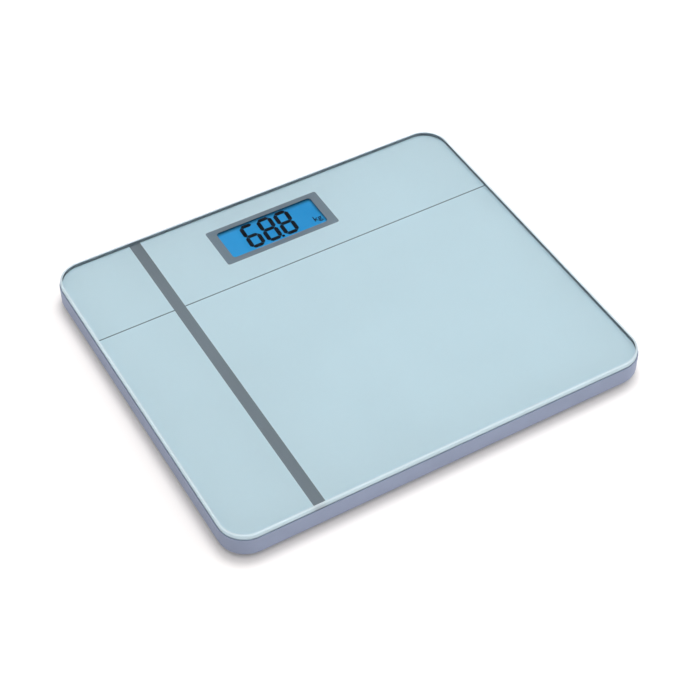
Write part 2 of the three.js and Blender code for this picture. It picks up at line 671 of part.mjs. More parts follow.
function batteryGeometry() {
  const { radius, length, nubRadius, nubLength } = BATTERY;
  const edge = 0.5;
  return turned([
    [0, 0], [radius - edge, 0], [radius, edge], [radius, length - nubLength - edge],
    [radius - edge, length - nubLength], [nubRadius, length - nubLength],
    [nubRadius, length], [0, length],
  ], BATTERY_SIDES);
}

// A conical spring from the inner face of a contact plate to the flat end of a battery
function contactSpring(plate, side, y) {
  const steps = SPRING.turns * SPRING.stepsPerTurn;
  const points = [];
  for (let step = 0; step <= steps; step += 1) {
    const share = step / steps;
    const angle = share * SPRING.turns * 2 * Math.PI;
    const radius = THREE.MathUtils.lerp(SPRING.baseRadius, SPRING.tipRadius, share);
    const x = side * (CONTACT_FACE + (SPRING_TIP - CONTACT_FACE) * share);
    points.push([x, y + radius * Math.cos(angle), BATTERY_HEIGHT + radius * Math.sin(angle)]);
  }
  return carve(plate, { added: [wire(points, SPRING.wire, steps, 4)] });
}

function contactPlate(side, lowY, highY) {
  const inner = side * CONTACT_FACE;
  const outer = side * (CONTACT_FACE + CONTACT.thickness);
  return block(
    Math.min(inner, outer), Math.max(inner, outer), lowY - CONTACT.half, highY + CONTACT.half,
    CONTACT.bottom, CONTACT.top,
  );
}

// Battery 1 has its nub at -X and battery 2 at +X, so one bridge at +X joins them in series
function addBatteries() {
  const nearY = BAY.y - BATTERY_PITCH / 2;
  const farY = BAY.y + BATTERY_PITCH / 2;
  for (const [name, side, y] of [['battery_1', -1, nearY], ['battery_2', 1, farY]]) {
    const cell = place(name, batteryGeometry(), FINISH.battery);
    cell.rotation.y = side * Math.PI / 2;
    cell.position.set(BAY.x + side * (CONTACT_FACE - NUB_GAP - BATTERY.length), y, BATTERY_HEIGHT);
  }
  place('contact_positive', contactPlate(-1, nearY, nearY), FINISH.nickel);
  place('contact_negative', contactSpring(contactPlate(-1, farY, farY), -1, farY), FINISH.nickel);
  place('contact_bridge', contactSpring(contactPlate(1, nearY, farY), 1, nearY), FINISH.nickel);
}

// Flat door with two hinge tabs at -X and a latch tongue, freed by two slits, at +X
function addDoor() {
  const { halfLength, halfWidth, bottom, thickness } = DOOR;
  const top = bottom + thickness;
  const plate = roundedRect(2 * halfLength, 2 * halfWidth, DOOR.radius, BAY.x, BAY.y);
  const latch = BAY.x + halfLength;
  const hinge = BAY.x - halfLength;
  const tabs = [-1, 1].map((side) => block(
    hinge - DOOR_TAB.reach, hinge + ROOT,
    BAY.y + side * DOOR_TAB.y - DOOR_TAB.halfWidth, BAY.y + side * DOOR_TAB.y + DOOR_TAB.halfWidth,
    bottom + DOOR_TAB.drop, top,
  ));
  const hook = block(
    latch - ROOT, latch + LATCH.reach, BAY.y - LATCH.halfWidth, BAY.y + LATCH.halfWidth,
    bottom + LATCH.drop, top,
  );
  const slits = [-SLIT.y, SLIT.y].map((y) => block(
    latch - SLIT.length, latch + LATCH.reach + OVERCUT,
    BAY.y + y - SLIT.width / 2, BAY.y + y + SLIT.width / 2, bottom - OVERCUT, top + OVERCUT,
  ));
  const grips = GRIPS.insets.map((inset) => block(
    latch - inset - GRIPS.width / 2, latch - inset + GRIPS.width / 2,
    BAY.y - GRIPS.length / 2, BAY.y + GRIPS.length / 2, bottom - OVERCUT, bottom + GRIPS.depth,
  ));
  const door = carve(prism(plate, bottom, top, 3), {
    added: [...tabs, hook],
    removed: [...slits, ...grips],
  });
  place('battery_door', door, FINISH.tray);
}

// ---------------------------------------------------------------- wiring

// Each cable leaves its tower, and the front ones run back along the sides. Bends are set by hand
function addCables() {
  const z = CABLE_HEIGHT;
  const landing = BOARD_TOP + CABLE_RADIUS + SOLDER;
  for (const corner of CORNERS) {
    const side = Math.sign(corner.x);
    const start = corner.x - side * (CELL_SIZE / 2 + 2.5);
    const row = corner.y < 0 ? BOARD.y - 8 : BOARD.y + 3.5;
    const boardEdge = BOARD.x + side * (BOARD.width / 2 - 3);
    const points = [[start, corner.y, z], [corner.x - side * (TOWER_RADIUS + 2), corner.y, z]];
    if (corner.y < 0) {
      points.push(
        [side * CABLE_LANE, corner.y + 6, z], [side * CABLE_LANE, -60, z], [side * CABLE_LANE, 0, z],
        [side * CABLE_LANE, 60, z], [side * (CABLE_LANE - 6), row - 2, z],
      );
    }
    points.push([side * (BOARD.width / 2 + 12), row, z], [boardEdge, row, landing]);
    const steps = corner.y < 0 ? 26 : 10;
    place(`sensor_cable_${corner.name}`, wire(points, CABLE_RADIUS, steps), FINISH.cable);
  }
}

// Each lead leaves through a notch in the bay's wall and bends back to the board
function addLeads() {
  const level = BAY.top - 1.1;
  const landing = BOARD_TOP + LEAD_RADIUS + SOLDER;
  const outside = BAY.x - BAY.halfLength - BAY.wall;
  for (const side of [-1, 1]) {
    const y = BAY.y + side * BATTERY_PITCH / 2;
    const lane = outside - (side < 0 ? 6 : 3);
    const end = BOARD.x - 30 + side * 3;
    const points = [
      [outside + 1.2, y, level], [outside - 1.2, y, level], [lane, y + 5, level - 1],
      [lane, 60, level - 1.5], [end, BOARD.y - BOARD.depth / 2 - 3, level - 1.2],
      [end, BOARD.y - BOARD.depth / 2 + 2.5, landing],
    ];
    const name = side < 0 ? 'battery_lead_positive' : 'battery_lead_negative';
    place(name, wire(points, LEAD_RADIUS, 16), side < 0 ? FINISH.redLead : FINISH.blackLead);
  }
}

// ---------------------------------------------------------------- assembly

addPlatform();
addTapes();
addTray();
addCorners();
addDisplay();
addBoard();
addButton();
addBatteries();
addDoor();
addCables();
addLeads();

export default scale;
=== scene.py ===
import json
import math

import bmesh
import bpy
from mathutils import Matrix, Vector


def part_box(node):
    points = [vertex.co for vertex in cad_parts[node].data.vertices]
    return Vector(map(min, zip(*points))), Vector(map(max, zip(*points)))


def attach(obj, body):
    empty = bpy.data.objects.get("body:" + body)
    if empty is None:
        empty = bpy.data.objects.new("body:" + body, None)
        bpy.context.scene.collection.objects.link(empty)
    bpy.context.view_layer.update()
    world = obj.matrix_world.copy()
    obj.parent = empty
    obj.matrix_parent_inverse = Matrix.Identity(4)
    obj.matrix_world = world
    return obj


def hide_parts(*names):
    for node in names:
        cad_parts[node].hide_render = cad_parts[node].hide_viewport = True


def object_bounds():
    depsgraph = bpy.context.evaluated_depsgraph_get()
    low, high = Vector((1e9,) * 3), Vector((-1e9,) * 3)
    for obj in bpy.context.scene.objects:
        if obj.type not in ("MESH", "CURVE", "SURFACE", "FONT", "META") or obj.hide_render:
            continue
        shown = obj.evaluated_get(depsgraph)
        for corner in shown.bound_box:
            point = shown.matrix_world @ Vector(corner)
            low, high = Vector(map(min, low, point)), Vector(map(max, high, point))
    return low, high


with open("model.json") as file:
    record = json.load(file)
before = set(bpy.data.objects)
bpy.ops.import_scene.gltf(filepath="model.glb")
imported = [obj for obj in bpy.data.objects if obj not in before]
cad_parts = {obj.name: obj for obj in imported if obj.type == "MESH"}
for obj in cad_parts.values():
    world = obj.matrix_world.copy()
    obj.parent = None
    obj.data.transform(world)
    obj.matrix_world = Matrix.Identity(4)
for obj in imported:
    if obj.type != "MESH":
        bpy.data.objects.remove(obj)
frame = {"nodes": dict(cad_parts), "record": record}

CAD_LOW, CAD_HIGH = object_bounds()

MM = 0.001
ROOT_BODY = "body"
CORNERS = ("front_left", "front_right", "back_left", "back_right")
SLOT_OF = {part["node"]: part["material_slot"] for part in frame["record"]["subparts"]}
BODY_OF = {
    node: body
    for body, nodes in frame["record"]["behaviour"]["bodies"].items()
    for node in nodes
}

# The camera looks at VIEW_TARGET, a point of the glass top, from VIEW_DISTANCE away
VIEW_AZIMUTH = math.radians(-30.18)
VIEW_ELEVATION = math.radians(47.33)
VIEW_DISTANCE = 1119.5 * MM
VIEW_TARGET = (-13.45 * MM, -31.4 * MM)
LENS_MM = 89.34
SENSOR_MM = 36
CLIP_START = 10 * MM

# The studio is brightest to the object's right and above it, and a little behind it
BRIGHT_SIDE = (0.75, 0.25, 0.6)
BRIGHT_LEVEL = 1.6
DIM_LEVEL = 0.03
# A dark card hangs where the flat glass would mirror a white wall into the camera. It is darkest
# within CARD_CORE degrees of its middle, and ends at CARD_EDGE degrees
CARD_CORE = 14
CARD_EDGE = 24
CARD_LEVEL = 0.03
# The lamp and the floor, in metres
KEY_PLACE = (0.35, 0.45, 2.2)
KEY_SIZE = 0.9
KEY_WATTS = 22
FLOOR_RADIUS = 6
FLOOR_SIDES = 96

# Glass plate. Its rim is eased in a quarter of an ellipse, above and below
GLASS_RADIUS = 18.2 * MM
GLASS_EDGE = 1.5 * MM  # how far the eased edge reaches in from the side
GLASS_EDGE_DROP = 0.5 * MM
GLASS_EDGE_STEPS = 5
GLASS_CORNER_STEPS = 20
GLASS_RIM = 0.3 * MM  # a narrow flat ring inside the eased edge, so that the face shades flat
GLASS_IOR = 1.5
FLAT_NORMAL = 0.999  # faces that point up or down by this much are polished, and the rest ground
EDGE_PAINTED_SHADE_UNTIL = 17.6 * MM  # painted shade: the ground edge is coloured dark up to this height
EDGE_PALE_FROM = 18.6 * MM  # and pale from this one, above the painted shade

# Print on the back of the glass
PRINT_MARGIN = 0.6 * MM
PRINT_THICKNESS = 0.12 * MM
PRINT_BOND = 0.02 * MM  # the ink reaches this far into the glass, which it is fired onto
STRIPE_LEFT = -94.3 * MM
STRIPE_WIDTH = 8 * MM
LINE_Y = 60.2 * MM
LINE_WIDTH = 0.8 * MM
WINDOW_CENTRE = (-0.4 * MM, 98.0 * MM)
WINDOW_SIZE = (73.8 * MM, 27.2 * MM)
WINDOW_RADIUS = 2.2 * MM
FRAME_CENTRE = (-0.4 * MM, 97.7 * MM)
FRAME_SIZE = (86.7 * MM, 35.4 * MM)
FRAME_RADIUS = 1.5 * MM

# Painted shade along the back and right edges of the display, where the window's edge shades it: the
# backlight is dimmed there
LCD_SHADE_RIGHT = 3.2 * MM
LCD_SHADE_BACK = 4.6 * MM
LCD_SHADE_SHIFT = 0.9 * MM
LCD_SHADE_LEVEL = 0.04

# Seven-segment digits, the decimal point and the unit mark
READING = "688"
DIGIT_HEIGHT = 24.0 * MM
DIGIT_WIDTH = 11.6 * MM
DIGIT_PITCH = 13.2 * MM
DIGIT_STROKE = 3.0 * MM
DIGIT_SLANT = 0.045
DIGIT_GAP = 0.1 * MM
DIGITS_LEFT = -22.0 * MM
DIGITS_BOTTOM = 86.7 * MM
INK_THICKNESS = 0.03 * MM
SEGMENTS_OF = {"6": "acdefg", "8": "abcdefg"}
POINT_SIZE = 2.1 * MM
POINT_RADIUS = 0.5 * MM
POINT_LEAD = 2.6 * MM  # from the point's left side to the last digit's
UNIT_SIZE = 7.0 * MM
UNIT_BOLDNESS = 0.1 * MM
UNIT_PLACE = (28.5 * MM, 89.2 * MM)

# Rubber pads: grip rings round a dimple, and a rounded lower edge
PAD_CORE = 0.6 * MM  # the flat disc in the middle of the turned profile
PAD_DIMPLE = 2.0 * MM
PAD_DIMPLE_RIM = 2.4 * MM
PAD_EDGE = 0.5 * MM
PAD_EDGE_MIDDLE = 0.15 * MM
GRIP_COUNT = 4
GRIP_FIRST = 5.0 * MM
GRIP_PITCH = 2.8 * MM
GRIP_WIDTH = 1.1 * MM
GRIP_SLOPE = 0.2 * MM
GRIP_DEPTH = 0.5 * MM

# Eased edges of the CAD nodes, by node, and of all the others
EDGE_OF = {"tray": 0.2 * MM, "battery_door": 0.15 * MM, "lcd_panel": 0.1 * MM, "circuit_board": 0.1 * MM}
FINE_EDGE = 0.08 * MM
EDGE_SEGMENTS = 2
CREASE_ANGLE = 32  # degrees: steeper edges of a CAD node stay sharp and are eased
COPLANAR_ANGLE = 0.3  # degrees: flatter edges between faces of a CAD node are removed
SAME_POINT = 0.001 * MM  # CAD corners closer than this are one corner
SAME_CURVE_POINT = 0.0001 * MM  # and the corners of a flat piece closer than this

# Scales of the procedural textures, in repeats per metre
MOTTLE_SCALE = 45
MOULD_GRAIN_SCALE = 1400
RUBBER_GRAIN_SCALE = 900
FOAM_GRAIN_SCALE = 1800
ROLLING_LINE_SCALE = 160
ROLLER_WAVE_SCALE = 25
GROUND_GRAIN_SCALE = 900
PRINT_CLOUD_SCALE = 12
PRINT_MESH_SCALE = 2500
LCD_CLOUD_SCALE = 28
INK_CLOUD_SCALE = 300
TRACK_SCALE = 260
SLEEVE_GRAIN_SCALE = 200
FLOOR_CLOUD_SCALE = 3
GLOSS_SPREAD = 0.05  # how far a moulding's roughness strays from its middle value


# ---------------------------------------------------------------- mesh helpers

def link(name, mesh):
    piece = bpy.data.objects.new(name, mesh)
    bpy.context.collection.objects.link(piece)
    return piece


def smooth(mesh, angle=35):
    """Smooth shading that stays sharp across edges steeper than the angle, in degrees."""
    mesh.shade_smooth()
    mesh.set_sharp_from_angle(angle=math.radians(angle))


def rounded_outline(size, radius, centre=(0, 0), steps=16):
    """Points round a rectangle with round corners, anticlockwise from the front right corner."""
    half_x, half_y = size[0] / 2 - radius, size[1] / 2 - radius
    points = []
    for quarter, (sign_x, sign_y) in enumerate(((1, -1), (1, 1), (-1, 1), (-1, -1))):
        for step in range(steps + 1):
            angle = (quarter - 1 + step / steps) * math.pi / 2
            points.append((
                centre[0] + sign_x * half_x + radius * math.cos(angle),
                centre[1] + sign_y * half_y + radius * math.sin(angle),
            ))
    return points


def loft(name, rings):
    """A closed solid through rings of [x, y, z] points, which all have the same count."""
    bm = bmesh.new()
    loops = [[bm.verts.new(point) for point in ring] for ring in rings]
    count = len(rings[0])
    for low, high in zip(loops, loops[1:]):
        for i in range(count):
            j = (i + 1) % count
            bm.faces.new((low[i], low[j], high[j], high[i]))
    bm.faces.new(list(reversed(loops[0])))
    bm.faces.new(loops[-1])
    mesh = bpy.data.meshes.new(name)
    bm.to_mesh(mesh)
    bm.free()
    return link(name, mesh)


def turned(name, profile, centre, sides=72):
    """A turned solid about a vertical axis: profile points are (radius, height), bottom to top."""
    rings = []
    for radius, height in profile:
        rings.append([
            (
                centre[0] + radius * math.cos(2 * math.pi * i / sides),
                centre[1] + radius * math.sin(2 * math.pi * i / sides),
                height,
            )
            for i in range(sides)
        ])
    piece = loft(name, rings)
    smooth(piece.data)
    return piece


def flat_piece(name, outlines, low, high):
    """Flat plates between two heights. Outlines inside another one are holes in it."""
    curve = bpy.data.curves.new(name, "CURVE")
    curve.dimensions = "2D"
    curve.fill_mode = "BOTH"
    curve.extrude = (high - low) / 2
    for outline in outlines:
        spline = curve.splines.new("POLY")
        spline.points.add(len(outline) - 1)
        for point, (x, y) in zip(spline.points, outline):
            point.co = (x, y, 0, 1)
        spline.use_cyclic_u = True
    holder = bpy.data.objects.new(name + "_curve", curve)
    mesh = bpy.data.meshes.new_from_object(holder)
    bpy.data.objects.remove(holder)
    bpy.data.curves.remove(curve)
    mesh.name = name
    bm = bmesh.new()
    bm.from_mesh(mesh)
    bmesh.ops.remove_doubles(bm, verts=bm.verts, dist=SAME_CURVE_POINT)
    bmesh.ops.translate(bm, vec=(0, 0, (low + high) / 2), verts=bm.verts)
    bmesh.ops.recalc_face_normals(bm, faces=bm.faces)
    bm.to_mesh(mesh)
    bm.free()
    return link(name, mesh)


def rectangle(x0, x1, y0, y1):
    return [(x0, y0), (x1, y0), (x1, y1), (x0, y1)]


def finish_piece(piece, material, body, slot, *nodes):
    """Gives a new piece its material and body, and hides the CAD nodes it stands for. The slot is not used.
    """
    piece.data.materials.clear()
    piece.data.materials.append(material)
    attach(piece, body)
    if nodes:
        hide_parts(*nodes)


def refined(node, material, edge):
    """A copy of a CAD node with its edges eased and its round faces shaded smooth."""
    mesh = frame["nodes"][node].data.copy()
    bm = bmesh.new()
    bm.from_mesh(mesh)
    bmesh.ops.remove_doubles(bm, verts=bm.verts, dist=SAME_POINT)
    bmesh.ops.dissolve_limit(
        bm, angle_limit=math.radians(COPLANAR_ANGLE), verts=bm.verts, edges=bm.edges,
        use_dissolve_boundaries=False,
    )
    bm.to_mesh(mesh)
    bm.free()
    for name in ("custom_normal", "sharp_edge", "sharp_face"):
        if name in mesh.attributes:
            mesh.attributes.remove(mesh.attributes[name])
    smooth(mesh, CREASE_ANGLE)
    piece = link(node + "_finish", mesh)
    bevel = piece.modifiers.new("eased edges", "BEVEL")
    bevel.width = edge
    bevel.segments = EDGE_SEGMENTS
    bevel.limit_method = "ANGLE"
    bevel.angle_limit = math.radians(CREASE_ANGLE)
    weighted = piece.modifiers.new("flat faces", "WEIGHTED_NORMAL")
    weighted.keep_sharp = True
    finish_piece(piece, material, BODY_OF[node], SLOT_OF[node], node)


# ---------------------------------------------------------------- material helpers

def linear(red, green, blue):
    """A display colour, 0 to 255 a channel, as the linear colour that shaders take."""
    def channel(value):
        value /= 255
        return value / 12.92 if value <= 0.04045 else ((value + 0.055) / 1.055) ** 2.4
    return (channel(red), channel(green), channel(blue), 1)


def new_material(name):
    material = bpy.data.materials.new(name)
    material.use_nodes = True
    nodes = material.node_tree.nodes
    return material, nodes, material.node_tree.links, nodes["Principled BSDF"]


def noise(nodes, links, scale, detail=3, stretch=None):
    """A noise texture in the object's own space. scale is in repeats per metre."""
    place = nodes.new("ShaderNodeTexCoord")
    texture = nodes.new("ShaderNodeTexNoise")
    texture.inputs["Scale"].default_value = scale
    texture.inputs["Detail"].default_value = detail
    if stretch:
        mapping = nodes.new("ShaderNodeMapping")
        mapping.inputs["Scale"].default_value = stretch
        links.new(place.outputs["Object"], mapping.inputs["Vector"])
        links.new(mapping.outputs["Vector"], texture.inputs["Vector"])
    else:
        links.new(place.outputs["Object"], texture.inputs["Vector"])
    return texture.outputs["Fac"]


def ramp(nodes, links, source, first, second, low=0.35, high=0.65):
    """Blends between two colours as the source goes from low to high."""
    blend = nodes.new("ShaderNodeValToRGB")
    blend.color_ramp.elements[0].position = low
    blend.color_ramp.elements[0].color = first
    blend.color_ramp.elements[1].position = high
    blend.color_ramp.elements[1].color = second
    links.new(source, blend.inputs["Fac"])
    return blend.outputs["Color"]


def coordinate(nodes, links, axis):
    """A point's X, Y or Z in the object's own space."""
    place = nodes.new("ShaderNodeTexCoord")
    split = nodes.new("ShaderNodeSeparateXYZ")
    links.new(place.outputs["Object"], split.inputs["Vector"])
    return split.outputs[axis]


def remap(nodes, links, source, given, wanted, kind="LINEAR"):
    """Maps the given range of a value to the wanted one, and holds it past both ends."""
    span = nodes.new("ShaderNodeMapRange")
    span.interpolation_type = kind
    span.inputs["From Min"].default_value, span.inputs["From Max"].default_value = given
    span.inputs["To Min"].default_value, span.inputs["To Max"].default_value = wanted
    links.new(source, span.inputs["Value"])
    return span.outputs["Result"]


def product(nodes, links, first, second):
    times = nodes.new("ShaderNodeMath")
    times.operation = "MULTIPLY"
    links.new(first, times.inputs[0])
    links.new(second, times.inputs[1])
    return times.outputs["Value"]


def add_bump(nodes, links, shader, height, strength, distance):
    bump = nodes.new("ShaderNodeBump")
    bump.inputs["Strength"].default_value = strength
    bump.inputs["Distance"].default_value = distance
    links.new(height, bump.inputs["Height"])
    links.new(bump.outputs["Normal"], shader.inputs["Normal"])


def shade(color, factor):
    return (*(min(1, channel * factor) for channel in color[:3]), 1)


def tinted(nodes, links, shader, source, first, second):
    """Colours the surface between two colours by a noise source."""
    links.new(ramp(nodes, links, source, first, second), shader.inputs["Base Color"])


def moulded(
    name, color, roughness, grain=MOULD_GRAIN_SCALE, depth=0.02 * MM, mottle=0.04, strength=0.25, **sockets,
):
    """Moulded plastic or rubber: faint mottling, fine spark-eroded grain, uneven gloss."""
    material, nodes, links, shader = new_material(name)
    broad = noise(nodes, links, MOTTLE_SCALE, 4)
    fine = noise(nodes, links, grain, 2)
    tinted(nodes, links, shader, broad, shade(color, 1 - mottle), shade(color, 1 + mottle))
    gloss = remap(nodes, links, broad, (0, 1), (roughness - GLOSS_SPREAD, roughness + GLOSS_SPREAD))
    links.new(gloss, shader.inputs["Roughness"])
    add_bump(nodes, links, shader, fine, strength, depth)
    for socket, value in sockets.items():
        shader.inputs[socket.replace("_", " ")].default_value = value
    return material


def brushed(name, color, roughness=0.32, stretch=(1, 40, 1)):
    """Rolled metal with fine lines along one direction."""
    material, nodes, links, shader = new_material(name)
    lines = noise(nodes, links, ROLLING_LINE_SCALE, 4, stretch)
    tinted(nodes, links, shader, lines, shade(color, 0.88), shade(color, 1.08))
    gloss = remap(nodes, links, lines, (0, 1), (roughness - 0.08, roughness + 0.1))
    links.new(gloss, shader.inputs["Roughness"])
    shader.inputs["Metallic"].default_value = 1
    add_bump(nodes, links, shader, lines, 0.15, 0.01 * MM)
    return material


# ---------------------------------------------------------------- materials

def clear_glass_material():
    """Float glass with the faint roller wave of toughening."""
    material, nodes, links, shader = new_material("clear_glass")
    shader.inputs["Base Color"].default_value = (0.985, 1.0, 0.995, 1)
    shader.inputs["IOR"].default_value = GLASS_IOR
    shader.inputs["Roughness"].default_value = 0
    shader.inputs["Transmission Weight"].default_value = 1
    wave = noise(nodes, links, ROLLER_WAVE_SCALE, 1)
    add_bump(nodes, links, shader, wave, 0.1, 0.01 * MM)
    return material


def ground_glass_material():
    """The ground side of the plate: frosted and pale, with painted shade dark low down, where the tray
    shades it.
    """
    material, nodes, links, shader = new_material("ground_glass")
    shader.inputs["IOR"].default_value = GLASS_IOR
    shader.inputs["Roughness"].default_value = 0.6
    shader.inputs["Transmission Weight"].default_value = 0.5
    given = (EDGE_PAINTED_SHADE_UNTIL, EDGE_PALE_FROM)
    height = remap(nodes, links, coordinate(nodes, links, "Z"), given, (0, 1))
    # Painted shade: the base colour goes dark towards the bottom of the edge
    painted_shade_tint = ramp(nodes, links, height, linear(104, 119, 131), linear(214, 226, 232), 0, 1)
    links.new(painted_shade_tint, shader.inputs["Base Color"])
    grain = noise(nodes, links, GROUND_GRAIN_SCALE, 2, (1, 1, 0.15))
    add_bump(nodes, links, shader, grain, 0.2, 0.02 * MM)
    return material


def print_material(name, color, mottle):
    """Screen print behind the glass: nearly even ink with a trace of the mesh in it."""
    material, nodes, links, shader = new_material(name)
    cloud = noise(nodes, links, PRINT_CLOUD_SCALE, 2)
    tinted(nodes, links, shader, cloud, shade(color, 1 - mottle), shade(color, 1 + mottle))
    mesh_grain = noise(nodes, links, PRINT_MESH_SCALE, 1)
    add_bump(nodes, links, shader, mesh_grain, 0.05, 0.01 * MM)
    shader.inputs["Roughness"].default_value = 0.5
    shader.inputs["Specular IOR Level"].default_value = 0.2
    return material


def painted_shade_share(nodes, links):
    """How much of the backlight comes through: less along the back and right sides of the window, as painted
    shade.
    """
    window_right = WINDOW_CENTRE[0] + WINDOW_SIZE[0] / 2
    window_back = WINDOW_CENTRE[1] + WINDOW_SIZE[1] / 2
    shares = []
    for axis, side, width in (("X", window_right, LCD_SHADE_RIGHT), ("Y", window_back, LCD_SHADE_BACK)):
        start = side + LCD_SHADE_SHIFT
        place = coordinate(nodes, links, axis)
        shares.append(remap(nodes, links, place, (start, start - width), (LCD_SHADE_LEVEL, 1), "SMOOTHSTEP"))
    return product(nodes, links, *shares)


def lcd_material():
    """Blue display, lit from behind through a diffuser that is a little uneven."""
    material, nodes, links, shader = new_material("lcd_blue")
    cloud = noise(nodes, links, LCD_CLOUD_SCALE, 2)
    tinted(nodes, links, shader, cloud, (0.004, 0.07, 0.15, 1), (0.008, 0.09, 0.17, 1))
    light = ramp(nodes, links, cloud, (0.014, 0.222, 0.52, 1), (0.020, 0.248, 0.565, 1))
    links.new(light, shader.inputs["Emission Color"])
    # The backlight is dimmed near the back and right window edges as painted shade
    links.new(painted_shade_share(nodes, links), shader.inputs["Emission Strength"])
    shader.inputs["Roughness"].default_value = 0.25
    return material


def ink_material():
    """The nearly black digits, which show through the glass without a gloss of their own."""
    material, nodes, links, shader = new_material("lcd_ink")
    cloud = noise(nodes, links, INK_CLOUD_SCALE, 2)
    tinted(nodes, links, shader, cloud, (0.004, 0.006, 0.010, 1), (0.008, 0.012, 0.018, 1))
    shader.inputs["Roughness"].default_value = 0.5
    shader.inputs["Specular IOR Level"].default_value = 0.05
    return material


def board_material():
    """Green solder mask over copper tracks that show as a faint pattern of straight lines."""
    material, nodes, links, shader = new_material("board_green")
    place = nodes.new("ShaderNodeTexCoord")
    tracks = nodes.new("ShaderNodeTexBrick")
    tracks.inputs["Scale"].default_value = TRACK_SCALE
    tracks.inputs["Mortar Size"].default_value = 0.03
    tracks.inputs["Color1"].default_value = linear(24, 92, 52)
    tracks.inputs["Color2"].default_value = linear(30, 104, 58)
    tracks.inputs["Mortar"].default_value = linear(52, 136, 78)
    links.new(place.outputs["Object"], tracks.inputs["Vector"])
    links.new(tracks.outputs["Color"], shader.inputs["Base Color"])
    add_bump(nodes, links, shader, tracks.outputs["Fac"], 0.3, 0.03 * MM)
    shader.inputs["Roughness"].default_value = 0.3
    shader.inputs["Coat Weight"].default_value = 0.4
    return material


def battery_material():
    """A printed sleeve: dark blue ink with a metal sheen."""
    material, nodes, links, shader = new_material("battery_sleeve")
    grain = noise(nodes, links, SLEEVE_GRAIN_SCALE, 2)
    tinted(nodes, links, shader, grain, linear(38, 66, 112), linear(52, 84, 134))
    links.new(remap(nodes, links, grain, (0, 1), (0.22, 0.32)), shader.inputs["Roughness"])
    shader.inputs["Metallic"].default_value = 0.6
    return material


MATERIALS = {
    "tray_plastic": moulded("tray_plastic", linear(143, 152, 175), 0.45, Specular_IOR_Level=0.06),
    "holder_plastic": moulded("holder_plastic", linear(214, 222, 232), 0.5),
    "cup_plastic": moulded("cup_plastic", linear(176, 182, 197), 0.5),
    "pad_rubber": moulded(
        "pad_rubber", linear(58, 60, 66), 0.8, grain=RUBBER_GRAIN_SCALE, depth=0.06 * MM, mottle=0.1,
    ),
    "key_rubber": moulded("key_rubber", linear(92, 99, 112), 0.65),
    "silicone": moulded("silicone", linear(238, 238, 232), 0.45, mottle=0.02),
    "foam": moulded(
        "foam", linear(236, 235, 226), 0.95, grain=FOAM_GRAIN_SCALE, depth=0.15 * MM, strength=0.6,
    ),
    "epoxy": moulded("epoxy", linear(26, 26, 28), 0.22, mottle=0.1),
    "elastomer": moulded("elastomer", linear(214, 132, 138), 0.6),
    "cable": moulded("cable", linear(183, 185, 189), 0.5),
    "red_lead": moulded("red_lead", linear(170, 36, 36), 0.45),
    "black_lead": moulded("black_lead", linear(34, 34, 38), 0.45),
    "backlight": moulded("backlight", linear(160, 212, 248), 0.4, mottle=0.02),
    "steel": brushed("steel", (0.50, 0.50, 0.52, 1)),
    "nickel": brushed("nickel", (0.66, 0.64, 0.59, 1), 0.2),
    "board": board_material(),
    "battery": battery_material(),
    "lcd": lcd_material(),
    "lcd_ink": ink_material(),
    "clear_glass": clear_glass_material(),
    "ground_glass": ground_glass_material(),
    "print_field": print_material("print_field", (0.680, 0.842, 0.915, 1), 0.012),
    "print_grey": print_material("print_grey", linear(130, 139, 147), 0.03),
    "print_line": print_material("print_line_grey", linear(90, 107, 118), 0.03),
    "print_frame": print_material("print_frame_grey", linear(129, 143, 154), 0.03),
}


# ---------------------------------------------------------------- platform

def eased_edge(reach, drop, steps):
    """(inset, rise) pairs from a vertical side to a flat face, a quarter of an ellipse."""
    angles = [step / steps * math.pi / 2 for step in range(steps + 1)]
    return [(reach * (1 - math.cos(angle)), drop * math.sin(angle)) for angle in angles]


def make_glass():
    low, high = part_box("glass_platform")
    width, depth = high.x - low.x, high.y - low.y
    edge = eased_edge(GLASS_EDGE, GLASS_EDGE_DROP, GLASS_EDGE_STEPS)
    levels = [(GLASS_EDGE + GLASS_RIM, low.z)]
    levels += [(inset, low.z + GLASS_EDGE_DROP - rise) for inset, rise in reversed(edge)]
    levels += [(inset, high.z - GLASS_EDGE_DROP + rise) for inset, rise in edge]
    levels.append((GLASS_EDGE + GLASS_RIM, high.z))
    rings = []
    for inset, height in levels:
        size = (width - 2 * inset, depth - 2 * inset)
        outline = rounded_outline(size, GLASS_RADIUS - inset, steps=GLASS_CORNER_STEPS)
        rings.append([(x, y, height) for x, y in outline])
    slab = loft("glass_slab", rings)
    smooth(slab.data)
    finish_piece(slab, MATERIALS["clear_glass"], ROOT_BODY, "clear_glass", "glass_platform")
    slab.data.materials.append(MATERIALS["ground_glass"])
    for face in slab.data.polygons:
        face.material_index = int(abs(face.normal.z) < FLAT_NORMAL)


